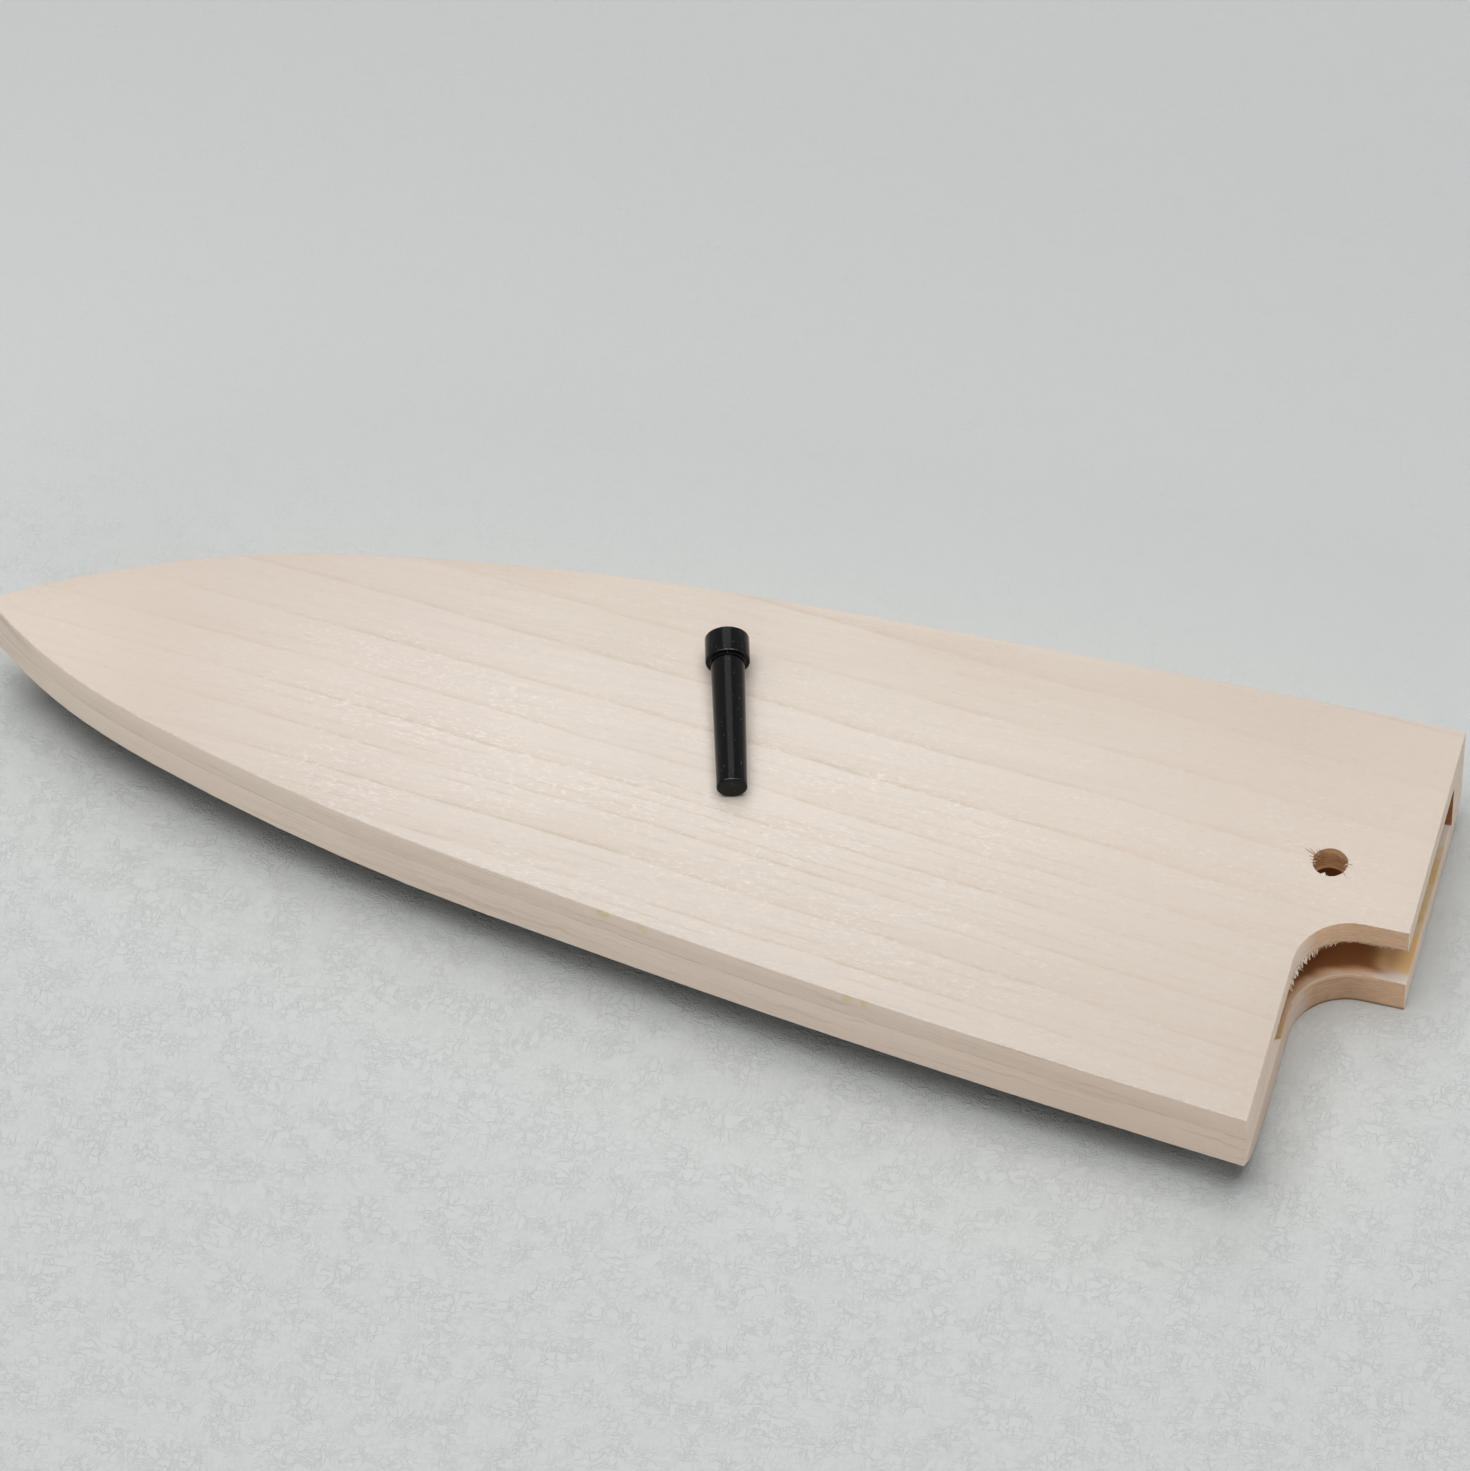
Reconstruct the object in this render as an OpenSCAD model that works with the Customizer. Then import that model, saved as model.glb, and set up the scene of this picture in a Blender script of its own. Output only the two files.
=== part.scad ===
// Wooden blade guard (saya) for a single-bevel kitchen knife, with its retaining peg.
// Millimetres, +Z up. The guard lies on its rounded side, the flat face up.
// +X is the open heel end, -X the tip, +Y the spine side, -Y the cutting-edge side.
// The origin is under the middle of the outline, on the surface that the guard lies on.

// The two long sides are chains of arcs that run from the heel to the tip, each arc
// tangent to the one before. The last arc of each side is found from the tip point,
// and so is the heading with which the cutting-edge side leaves the heel.
// Outline, rounded underside and pocket all follow the same two chains, so they stay
// in step when a size changes.

/* [Overall] */
// Length from the tip to the open end
length = 211; // [195:0.5:235]
// Width across the widest place, at the heel
width = 75; // [68:0.5:84]
// Full thickness over both halves
thickness = 18; // [16.5:0.1:22]
// Thickness of the flat half that closes the pocket
panel_thickness = 4.5; // [3:0.1:5.5]

/* [Spine side] */
// Where the spine side is furthest out, from the open end
spine_crown_from_end = 25.5; // [15:0.5:40]
// Radius of the nearly straight run
spine_run_radius = 2230; // [1500:10:4000]
// Length of the nearly straight run, from its crown
spine_run_length = 78.5; // [60:0.5:95]
// Radius of the shoulder that leads into the nose
spine_shoulder_radius = 354; // [280:1:450]
// Length of the shoulder
spine_shoulder_length = 58; // [45:0.5:68]
// How far the tip lies below the spine side
tip_drop = 29.3; // [26:0.1:33]

/* [Cutting-edge side] */
// Radius of the nearly straight run
edge_run_radius = 2080; // [1500:10:4000]
// Length of the nearly straight run, from the heel
edge_run_length = 117; // [100:0.5:130]
// Radius of the shoulder that leads into the nose
edge_shoulder_radius = 323; // [260:1:400]
// Length of the shoulder
edge_shoulder_length = 53; // [42:0.5:62]
// Turn of the nose, from the shoulder to the tip, in degrees
edge_nose_turn = 21.8; // [14:0.1:30]

/* [Rounded underside] */
// How far the rounding reaches in from the cutting-edge side
edge_round_width = 16; // [10:0.5:20]
// How high the rounding rises on the cutting-edge side
edge_round_rise = 7.2; // [5:0.1:8]
// How far the rounding reaches in from the spine side
spine_round_width = 6.5; // [6:0.1:9]
// How high the rounding rises on the spine side
spine_round_rise = 5.6; // [4:0.1:6]
// How far the rounding of the spine side reaches in at the tip
spine_nose_width = 10.5; // [9.6:0.1:14]
// How high both rise at the tip
nose_rise = 9.6; // [7.5:0.1:10.5]

/* [Blade pocket] */
// Wood left beside the blade's spine
spine_wall = 6.85; // [5:0.05:9]
// Wood left in front of the cutting edge
edge_wall = 17.75; // [15:0.25:24]
// Depth of the pocket below the flat half, along the spine wall
pocket_depth = 8.5; // [6:0.1:9.5]
// How much shallower the pocket is where the blade's bevel begins
floor_rise = 1.4; // [0:0.1:2]
// Width of the sloping side that takes the blade's bevel
bevel_width = 5.8; // [4:0.1:9]

/* [Heel cut] */
// Width of the tongue that covers the neck of the blade
tongue_width = 37.5; // [34:0.5:42]
// How far the cutting-edge part is set back from the tongue
heel_setback = 14.9; // [12:0.1:20]
// Radius of the inner corner between them
notch_radius = 8.5; // [4:0.1:11]

/* [Peg hole] */
// Diameter of the hole through both halves
hole_diameter = 5; // [4:0.1:6.5]
// Distance of the hole from the open end
hole_from_end = 13.6; // [10:0.1:18]
// Distance of the hole from the spine side
hole_from_spine = 27.95; // [20:0.05:31]

/* [Peg] */
// Play between the thick end of the shank and the hole
peg_play = 0.1; // [0.05:0.05:0.3]
// Diameter of the head
head_diameter = 6.4; // [6.2:0.1:9]
// Length of the head
head_length = 4.2; // [3:0.1:7]
// Length of the tapered shank
shank_length = 21.9; // [20:0.1:30]
// Diameter of the shank at its tail
tail_diameter = 4.4; // [3.2:0.1:4.8]
// Broken edge round the head and the tail
peg_edge_break = 0.35; // [0.1:0.05:0.6]

/* [Peg at rest on the flat half] */
// Middle of the back of the head, along the guard
peg_rest_x = 0; // [-40:0.1:40]
// Middle of the back of the head, across the guard
peg_rest_y = 24.7; // [10:0.1:27]
// Turn of the peg away from straight across
peg_rest_turn = 16; // [-45:0.5:45]
// Gap kept under the peg
peg_rest_gap = 0.1; // [0.05:0.05:0.5]

/* [Hidden] */
$fa = 0.5;
$fs = 0.25;

// What a cut reaches past the wood that it leaves
over = 2;
// How far each side is carried on past the open end, and past the tip for a cut
lead = 30;
past_tip = 14;
// Longest chord along a side, and largest turn from one chord to the next
chord_length = 12;
chord_turn = 2;
// Levels from the foot of a side down to the flat
round_levels = 8;
// How late in the shoulder the roundings turn into those of the nose
nose_blend = 1.3;

heel_x = length / 2;
split_z = thickness - panel_thickness;
edge_heel_x = heel_x - heel_setback;
tip = [-length / 2, width / 2 - tip_drop];
hole_x = heel_x - hole_from_end;
hole_y = width / 2 - hole_from_spine;
shank_diameter = hole_diameter - peg_play;
peg_length = head_length + shank_length;

// A side is [start point, start heading, inwards, arcs], each arc [radius, length].
// Inwards is 1 where it points to +Y and -1 where it points to -Y.
edge_side = with_nose(aimed([
    [edge_heel_x, -width / 2],
    0,
    1,
    [[edge_run_radius, edge_run_length], [edge_shoulder_radius, edge_shoulder_length]]
], edge_nose_turn));
spine_side = with_nose([
    [heel_x - spine_crown_from_end, width / 2],
    0,
    -1,
    [[spine_run_radius, spine_run_length], [spine_shoulder_radius, spine_shoulder_length]]
]);

// Width and height of each rounding, along the run and at the tip
edge_round = [[edge_round_width, edge_round_rise], [edge_round_width, nose_rise]];
spine_round = [[spine_round_width, spine_round_rise], [spine_nose_width, nose_rise]];

// Direction that points inwards from a side, for a heading
function inward(s, heading) = [sin(heading), s[2] * cos(heading)];

// Turn of an arc in degrees
function turn(arc) = arc[1] / arc[0] * 180 / PI;

// Heading where arc i of a side starts
function heading(s, i) = i == 0 ? s[1] : heading(s, i - 1) + turn(s[3][i - 1]);

// Centre of arc i of a side, and the point where the arc starts
function centre(s, i) = start(s, i) + s[3][i][0] * inward(s, heading(s, i));
function start(s, i) =
    i == 0
    ? s[0]
    : centre(s, i - 1) - s[3][i - 1][0] * inward(s, heading(s, i));

// Heading of a line that is as long and points as this one does
function heading_of(s, line) = atan2(s[2] * line[1], -line[0]);

// A side with its start turned so that a nose with a given turn ends in the tip
function aimed(s, nose_turn) =
    let (
        n = len(s[3]),
        sides = start(s, n) - s[0],
        h = heading(s, n) + nose_turn / 2,
        chord_way = [-cos(h), s[2] * sin(h)],
        to_tip = tip - s[0],
        along = sides * chord_way,
        chord = sqrt(along * along - sides * sides + to_tip * to_tip) - along
    )
    [s[0], heading_of(s, to_tip) - heading_of(s, sides + chord * chord_way), s[2], s[3]];

// The arc that goes on smoothly from where a side stops and ends in the tip
function nose(s, n, to_tip) =
    let (r = to_tip * to_tip / (2 * to_tip * inward(s, heading(s, n))))
    [r, 2 * asin(norm(to_tip) / (2 * r)) * PI / 180 * r];

// A side with its nose added
function with_nose(s) =
    let (n = len(s[3]))
    [s[0], s[1], s[2], concat(s[3], [nose(s, n, tip - start(s, n))])];

// A point a given way along arc i of a side, with the direction inwards there
function station(s, i, along) =
    let (h = heading(s, i) + turn([s[3][i][0], along]))
    [centre(s, i) - s[3][i][0] * inward(s, h), inward(s, h)];

// Number of chords for arc i of a side
function chords(s, i) =
    max(ceil(turn(s[3][i]) / chord_turn), ceil(s[3][i][1] / chord_length));

// Stations for a cut, from past the open end to past the tip
function cut_stations(s) =
    concat(
        [station(s, 0, -lead)],
        [
            for (i = [0 : 2])
                for (k = [1 : chords(s, i)])
                    station(s, i, s[3][i][1] * (k - 0.5) / chords(s, i))
        ],
        [station(s, 2, s[3][2][1] + past_tip)]
    );

// Where two circles cross, the crossing nearer the tip
function crossing(c1, r1, c2, r2) =
    let (
        d = norm(c2 - c1),
        u = (c2 - c1) / d,
        a = (d * d + r1 * r1 - r2 * r2) / (2 * d),
        h = sqrt(r1 * r1 - a * a)
    )
    c1 + a * u + h * [u[1], -u[0]] * (u[1] > 0 ? -1 : 1);

// Width and height of a rounding, a share of the way into the nose
function round_at(rounding, share) =
    rounding[0] + (rounding[1] - rounding[0]) * pow(share, nose_blend);

// Height of level k on the way down a rounding that rises this high, and how far in
// from the side a rounding of this width and height has come there
function level(rise, k) =
    rise * (1 - cos(60 * (1 - k / round_levels))) / (1 - cos(60));
function come_in(size, k) =
    let (r = (size * size) / (2 * size[1]), z = level(size[1], k))
    size[0] - sqrt(max(0, r * r - (r - z) * (r - z)));

// Points of one side on level k, the nose shared out so that it ends where the same
// level of the other side crosses it
function side_level(s, rounding, k, mitre) =
    let (
        n = chords(s, 2),
        v = (centre(s, 2) - mitre) * [[1, 0], [0, s[2]]],
        nose_turn = atan2(v[0], v[1]) - heading(s, 2),
        soft = s[3][1][1] + s[3][2][1]
    )
    concat(
        [level_point(s, heading(s, 0) - turn([s[3][0][0], lead]), 0, rounding, k, 0)],
        [level_point(s, heading(s, 0), 0, rounding, k, 0)],
        [
            for (i = [0, 1])
                for (j = [1 : chords(s, i)])
                    let (f = j / chords(s, i))
                        level_point(s, heading(s, i) + turn(s[3][i]) * f, i, rounding, k,
                            i == 0 ? 0 : f * s[3][1][1] / soft)
        ],
        [
            for (j = [1 : n - 1])
                level_point(s, heading(s, 2) + nose_turn * j / n, 2, rounding, k,
                    (s[3][1][1] + s[3][2][1] * j / n) / soft)
        ]
    );

// One point of a level: heading h on arc i, a share of the way into the nose
function level_point(s, h, i, rounding, k, share) =
    let (
        size = round_at(rounding, share),
        x = k < 0 ? 0 : come_in(size, k),
        q = centre(s, i) - (s[3][i][0] - x) * inward(s, h)
    )
    [q[0], q[1], k < 0 ? split_z : level(size[1], k)];

// Closed line round the guard on level k, level -1 being the glued face
function ring(k) =
    let (
        e = k < 0 ? 0 : come_in(edge_round[1], k),
        t = k < 0 ? 0 : come_in(spine_round[1], k),
        mitre = crossing(
            centre(edge_side, 2), edge_side[3][2][0] - e,
            centre(spine_side, 2), spine_side[3][2][0] - t
        ),
        spine = side_level(spine_side, spine_round, k, mitre)
    )
    concat(
        side_level(edge_side, edge_round, k, mitre),
        [[mitre[0], mitre[1], k < 0 ? split_z : level(nose_rise, k)]],
        [for (j = [len(spine) - 1 : -1 : 0]) spine[j]]
    );

// Everything on the tip side of the open end
module heel_limit() {
    translate([-length, -width, -over]) cube([length + heel_x, 2 * width, thickness + 2 * over]);
}

// Outline of the guard from above
module outline() {
    intersection() {
        polygon([for (q = ring(-1)) [q[0], q[1]]]);
        translate([-length, -width]) square([length + heel_x, 2 * width]);
    }
}

// Block with the outline of the guard and the rounded underside
module rounded_block() {
    rings = [for (k = [-1 : round_levels]) ring(k)];
    n = len(rings[0]);
    m = len(rings);
    polyhedron(
        [for (r = rings) for (q = r) q],
        concat(
            [[for (j = [0 : n - 1]) j]],
            [[for (j = [n - 1 : -1 : 0]) (m - 1) * n + j]],
            [
                for (k = [0 : m - 2])
                    for (j = [0 : n - 1])
                        let (a = k * n + j, b = k * n + (j + 1) % n)
                            for (f = [[b, a, a + n], [b, a + n, b + n]]) f
            ]
        )
    );
}

// Solid that follows a side with the same profile all the way. In the profile x is the
// distance in from the side and y the height.
module swept(s, profile) {
    at = cut_stations(s);
    n = len(profile);
    m = len(at);
    faces = concat(
        [
            for (j = [0 : m - 2])
                for (k = [0 : n - 1])
                    let (a = j * n + k, b = j * n + (k + 1) % n)
                        for (f = [[a, a + n, b + n], [a, b + n, b]]) f
        ],
        [[for (k = [0 : n - 1]) k], [for (k = [n - 1 : -1 : 0]) (m - 1) * n + k]]
    );
    polyhedron(
        [for (t = at) for (q = profile) [t[0][0] + q[0] * t[1][0], t[0][1] + q[0] * t[1][1], q[1]]],
        s[2] > 0 ? [for (f = faces) [for (k = [len(f) - 1 : -1 : 0]) f[k]]] : faces
    );
}

// Room for the blade: straight beside the spine, sloping beside the cutting edge
module pocket() {
    floor_z = split_z - pocket_depth;
    slope = bevel_width / (pocket_depth - floor_rise);
    wall = [for (t = cut_stations(spine_side)) t[0] + spine_wall * t[1]];
    intersection() {
        swept(edge_side, [
            [edge_wall - slope * over, split_z + over],
            [edge_wall + bevel_width, floor_z + floor_rise],
            [width - spine_wall, floor_z],
            [width, floor_z],
            [width, split_z + over]
        ]);
        translate([0, 0, -over])
            linear_extrude(thickness + 2 * over)
            polygon(concat(wall, [[-length, -width], [length, -width]]));
    }
}

// The step between the tongue and the set-back part, with its rounded inner corner
module heel_notch() {
    r = notch_radius;
    corner_y = width / 2 - tongue_width;
    translate([edge_heel_x, corner_y, -over])
        linear_extrude(thickness + 2 * over) {
            translate([r, -width]) square([heel_setback, width]);
            translate([0, -width]) square([r + over, width - r]);
            translate([r, -r]) circle(r);
        }
}

// The hole that the peg goes through, across both halves
module peg_hole() {
    translate([hole_x, hole_y, -over])
        cylinder(d = hole_diameter, h = thickness + 2 * over);
}

// Flat half, glued over the pocket, with sharp edges
module flat_half() {
    color([0.86, 0.80, 0.74])
        difference() {
            translate([0, 0, split_z]) linear_extrude(panel_thickness) outline();
            heel_notch();
            peg_hole();
        }
}

// Carved half with the pocket and the rounded underside
module carved_half() {
    color([0.80, 0.73, 0.66])
        difference() {
            intersection() {
                rounded_block();
                heel_limit();
            }
            pocket();
            heel_notch();
            peg_hole();
        }
}

// Turned peg with a thicker head and a tapered shank, lying where it was put down
module peg() {
    e = peg_edge_break;
    rh = head_diameter / 2;
    rs = shank_diameter / 2;
    rt = tail_diameter / 2;
    // The head rim and the tail rim both touch, so the peg leans by this much
    lean = asin((rh - rt) / shank_length);
    color([0.05, 0.05, 0.055])
        translate([peg_rest_x, peg_rest_y, thickness + peg_rest_gap])
        rotate([0, 0, peg_rest_turn])
        translate([0, 0, rh * cos(lean) + head_length * sin(lean)])
        rotate([90 + lean, 0, 0])
        rotate_extrude()
        polygon([
            [0, 0],
            [rh - e, 0],
            [rh, e],
            [rh, head_length - e],
            [rh - e, head_length],
            [rs, head_length],
            [rt, peg_length - e],
            [rt - e, peg_length],
            [0, peg_length]
        ]);
}

flat_half();
carved_half();
peg();
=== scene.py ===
"""Wooden blade guard with its loose peg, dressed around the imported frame. Metres, +Z up."""

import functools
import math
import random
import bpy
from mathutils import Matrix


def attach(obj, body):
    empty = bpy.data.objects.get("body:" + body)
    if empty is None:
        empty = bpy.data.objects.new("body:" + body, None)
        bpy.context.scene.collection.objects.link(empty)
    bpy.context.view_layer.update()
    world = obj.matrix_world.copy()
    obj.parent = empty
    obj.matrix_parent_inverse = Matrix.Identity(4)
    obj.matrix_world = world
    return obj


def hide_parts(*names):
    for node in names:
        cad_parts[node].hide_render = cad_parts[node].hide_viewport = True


bl_info = {
    "name": "Blade Guard",
    "version": (1, 0, 0),
    "blender": (4, 5, 0),
    "location": "3D Viewport > Sidebar > Blade Guard",
    "description": "Wooden blade guard with a turned peg lying on it",
    "category": "Add Mesh",
}

import bmesh
import bpy
from bpy.props import FloatProperty, FloatVectorProperty, IntProperty, PointerProperty
from mathutils import Matrix, Vector

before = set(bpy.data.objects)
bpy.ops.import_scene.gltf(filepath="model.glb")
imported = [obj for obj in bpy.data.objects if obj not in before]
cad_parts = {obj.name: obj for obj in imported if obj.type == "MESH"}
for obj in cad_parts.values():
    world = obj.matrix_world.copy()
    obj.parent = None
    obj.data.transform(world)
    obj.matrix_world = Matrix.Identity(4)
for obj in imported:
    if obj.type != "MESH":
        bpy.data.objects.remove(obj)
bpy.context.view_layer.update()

MM = 0.001
SEED = 7
UP = Vector((0, 0, 1))

# Places that repeat the source of the CAD model, in millimetres
SPLIT_Z = 13.5
TOP_Z = 18.0
HEEL_X = 105.5
STEP_X = 90.6
NOTCH_R = 8.5
NOTCH_X = STEP_X + NOTCH_R
NOTCH_Y = 0.0
HOLE = Vector((91.9, 9.55, 0))
HOLE_R = 2.5
POCKET_LOW_Z = 4.4
LIP_LOW_Z, LIP_Z, LIP_HIGH_Z = 5.5, 6.1, 7.0

# The cutting-edge side was planed a little further in along the tip half, in millimetres
PLANED = 0.55
PLANED_FROM, PLANED_FULL, PLANED_END, PLANED_TIP = 36.0, -34.0, -80.0, -102.0
PLANED_ACROSS = (6.0, -10.0)

# How near two places have to be to count as one, in metres
CLOSE = 1e-5
VERY_CLOSE = 1e-6
MERGED = 1e-7
# Faces whose normal rises less than this stand upright
UPRIGHT = 0.1


# ---- sizes and colours


def srgb(r, g, b):
    """A colour read as 8-bit screen values, in the linear values that shaders take."""
    return tuple(
        c / 12.92 if c <= 0.04045 else ((c + 0.055) / 1.055) ** 2.4
        for c in (r / 255, g / 255, b / 255)
    )


def length(name, description, default):
    return FloatProperty(
        name=name, description=description, default=default, unit="LENGTH", precision=5
    )


def power(name, description, default):
    return FloatProperty(name=name, description=description, default=default, unit="POWER", min=0)


def colour(name, description, default):
    return FloatVectorProperty(
        name=name, description=description, default=default, subtype="COLOR", size=3, min=0, max=1
    )


class BoardSettings(bpy.types.PropertyGroup):
    top_arris: length("Top arris", "Rounding of the outer edge of the flat face", 0.00026)
    lip_arris: length("Lip arris", "Rounding where the pocket's floor meets the step", 0.00034)
    cut_arris: length("Cut arris", "Rounding of the sawn edges at the heel", 0.00014)
    joint_arris: length("Joint line", "Rounding on each side of the glue line", 0.00002)
    ragged: length("Ragged edge", "How far torn wood moves along the step and the hole", 0.00011)
    pale: colour("Early wood", "Palest wood in a growth ring", srgb(236, 225, 214))
    dark: colour("Late wood", "Wood at the end of a growth ring", srgb(226, 211, 197))
    line: colour("Ring line", "Thin line that closes a growth ring", srgb(214, 197, 179))
    warm: colour("Warm wood", "Wood towards the spine side and the tip", srgb(222, 206, 189))
    # Painted light: the sides are paler than the flat face, standing in for light that falls on
    # them
    side: colour("Sides", "Wood along the long sides", srgb(247, 224, 203))
    # Painted shade: the underside is far darker than the wood, which darkens the shadow on the
    # paper under the board
    under: colour("Underside", "Wood of the rounded underside", srgb(96, 87, 78))
    heel: colour("Heel wood", "Wood towards the heel", srgb(223, 208, 194))
    cut: colour("Sawn wood", "Cut faces of the step and the hole", srgb(226, 186, 148))
    # Painted shade: the pocket's darkest brown, inside the pocket near its mouth
    pocket_shade: colour("Pocket shade", "Wood inside the pocket, near its mouth", srgb(160, 103, 62))
    # Painted half-shade: an orange tone inside the pocket, between the lip and the darkest painted
    # shade
    pocket_half_shade: colour("Pocket lip", "Pocket wood between the lip and the stain", srgb(240, 196, 154))
    glue: colour("Dried glue", "Glue that squeezed out of the joint", srgb(232, 200, 138))
    olive: colour("Old glue", "Glue on the pocket's floor near the open end", srgb(255, 208, 148))


class FibreSettings(bpy.types.PropertyGroup):
    count: IntProperty(
        name="Torn fibres", description="Fibres along the step", default=90, min=0, max=600
    )
    longest: length("Longest", "Length of the longest torn fibre", 0.0009)
    thickness: length("Thickness", "Thickness of a torn fibre at its root", 0.0003)
    rim_count: IntProperty(
        name="Rim fibres", description="Fibres that stand into the hole", default=26, min=0, max=200
    )


class PegSettings(bpy.types.PropertyGroup):
    head_diameter: length("Head diameter", "Diameter of the head", 0.0064)
    head_length: length("Head length", "Length of the head", 0.0042)
    shank_diameter: length("Shank diameter", "Diameter under the head", 0.0049)
    shank_length: length("Shank length", "Length of the tapered shank", 0.0219)
    tail_diameter: length("Tail diameter", "Diameter at the tail", 0.0044)
    rim: length("Rim", "Rounding of the head and tail rims", 0.0002)
    black: colour("Black", "Colour of the peg", srgb(7, 6, 6))
    # Painted highlight: grey on the upward faces of the rims
    worn: colour("Rim highlight", "Where the rims have rubbed grey", srgb(124, 122, 119))


class StageSettings(bpy.types.PropertyGroup):
    paper: colour("Paper", "Colour of the paper on the table", srgb(213, 216, 215))
    floor_width: length("Floor width", "Width of the sheet of paper", 4.0)
    camera_distance: length("Camera distance", "From the camera to the flat face", 1.709)
    overhead: power("Overhead", "Power of the softbox", 10.8)
    ahead: power("Ahead", "Power of the strip in front of the softbox", 2.3)
    behind: power("Behind", "Power of the strip behind the softbox", 3.1)
    low_front: power("Low front", "Power of the low light on the camera's side", 3.4)
    low_heel: power("Low heel", "Power of the low light at the heel", 2.45)
    tip_side: power("Tip side", "Power of the light beside the softbox, towards the tip", 1.15)
    world: FloatProperty(name="Surroundings", description="Light from all around", default=0.01)


# ---- shader helpers


def add(tree, kind, inputs=None, **props):
    """A node with its properties set, and its inputs linked or set."""
    node = tree.nodes.new(kind)
    for key, value in props.items():
        setattr(node, key, value)
    for key, value in (inputs or {}).items():
        socket = node.inputs[key]
        if isinstance(value, Value):
            tree.links.new(value.socket, socket)
        elif socket.type == "RGBA":
            socket.default_value = (*value[:3], 1.0)
        else:
            socket.default_value = value
    return node


class Value:
    """One output in a shader tree. Sums, products and patterns of it add nodes to the tree."""

    def __init__(self, socket):
        self.socket = socket

    def made(self, kind, inputs, output=0, **props):
        """An output of a new node in the same tree."""
        return Value(add(self.socket.id_data, kind, inputs, **props).outputs[output])

    def math(self, operation, *others, **props):
        values = dict(enumerate((self, *others)))
        return self.made("ShaderNodeMath", values, operation=operation, **props)

    def __add__(self, other):
        return self.math("ADD", other)

    def __sub__(self, other):
        return self.math("SUBTRACT", other)

    def __rsub__(self, other):
        return self * -1.0 + other

    def __mul__(self, other):
        return self.math("MULTIPLY", other)

    def __truediv__(self, other):
        return self.math("DIVIDE", other)

    def __abs__(self):
        return self.math("ABSOLUTE")

    def either(self, other):
        """The larger of two values."""
        return self.math("MAXIMUM", other)

    def window(self, low, high, to_low=0.0, to_high=1.0, smooth=True):
        """Runs from to_low to to_high as the value runs from low to high."""
        return self.made(
            "ShaderNodeMapRange",
            {"Value": self, "From Min": low, "From Max": high, "To Min": to_low, "To Max": to_high},
            interpolation_type="SMOOTHSTEP" if smooth else "LINEAR",
        )

    def ramp(self, *stops):
        """A ColorRamp of grey levels, given as (position, level)."""
        node = add(self.socket.id_data, "ShaderNodeValToRGB", {"Fac": self})
        elements = node.color_ramp.elements
        while len(elements) < len(stops):
            elements.new(0.5)
        for element, (position, level) in zip(elements, stops):
            element.position = position
            element.color = (level, level, level, 1.0)
        return Value(node.outputs[0])

    def parts(self):
        """The x, y and z of a vector."""
        node = add(self.socket.id_data, "ShaderNodeSeparateXYZ", {0: self})
        return [Value(socket) for socket in node.outputs]

    def length(self):
        return self.made("ShaderNodeVectorMath", {0: self}, "Value", operation="LENGTH")

    def scaled(self, scale, location=(0, 0, 0)):
        inputs = {"Vector": self, "Scale": scale, "Location": location}
        return self.made("ShaderNodeMapping", inputs)

    def noise(self, scale, location=(0, 0, 0), detail=2.0, rough=0.5):
        """Noise at this place, with scale patches in a millimetre."""
        scale = (scale,) * 3 if isinstance(scale, (int, float)) else scale
        place = self.scaled(scale, location)
        inputs = {"Vector": place, "Scale": 1.0, "Detail": detail, "Roughness": rough}
        return self.made("ShaderNodeTexNoise", inputs)

    def towards(self, colour, share, blend="MIX"):
        """This colour, blended with another by a share."""
        inputs = {0: share, 6: self, 7: colour}
        return self.made("ShaderNodeMix", inputs, 2, data_type="RGBA", blend_type=blend)

    def tinted(self, factors, share):
        return self.towards(factors, share, "MULTIPLY")

    def between(self, a, b):
        """The colour a where this value is 0 and b where it is 1."""
        return self.made("ShaderNodeMix", {0: self, 6: a, 7: b}, 2, data_type="RGBA")


def vector(*parts):
    return parts[0].made("ShaderNodeCombineXYZ", dict(enumerate(parts)))


def millimetres(tree):
    """The place in the object in millimetres: as a vector, then its x, y and z."""
    place = Value(add(tree, "ShaderNodeTexCoord").outputs["Object"])
    mm = place.scaled((1 / MM, 1 / MM, 1 / MM))
    return mm, *mm.parts()


def mark(tree, name):
    """A mark that the mesh carries on its faces."""
    return Value(add(tree, "ShaderNodeAttribute", attribute_name=name).outputs["Fac"])


def facing(tree):
    """The x, y and z of the direction that a face looks in."""
    return Value(add(tree, "ShaderNodeNewGeometry").outputs["True Normal"]).parts()


def material(name):
    made = bpy.data.materials.new(name)
    made.use_nodes = True
    made.node_tree.nodes.clear()
    return made.node_tree


def surface(tree, colour, rough, specular=0.5, bump=None):
    """Ends a material in one shader. A bump is given as height, strength and distance."""
    inputs = {"Base Color": colour, "Roughness": rough, "Specular IOR Level": specular}
    if bump:
        relief = dict(zip(("Height", "Strength", "Distance"), bump))
        inputs["Normal"] = bump[0].made("ShaderNodeBump", relief)
    shader = Value(add(tree, "ShaderNodeBsdfPrincipled", inputs).outputs[0])
    add(tree, "ShaderNodeOutputMaterial", {"Surface": shader})


# ---- finishes

# Where the growth rings end across the flat face, in millimetres from the centre line
RING_ENDS = (46, 36, 26.75, 18.6, 10.5, 3.4, -2.6, -8.6, -15.1, -21.5, -28, -34.5, -41, -47.5)
RING_STEP = 6.5
RING_LOW = -80.0
RING_HIGH = 46.0
RING_COUNT = 20.0
# How the rings lie: slant in the depth, slant and bend along the board, fan across it
RING_TILT = 3.0
RING_SLANT, RING_BEND, RING_FAN = 0.103, 0.00008, -0.0005
RING_WAVES, RING_RIPPLES = 3.2, 0.7

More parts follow.
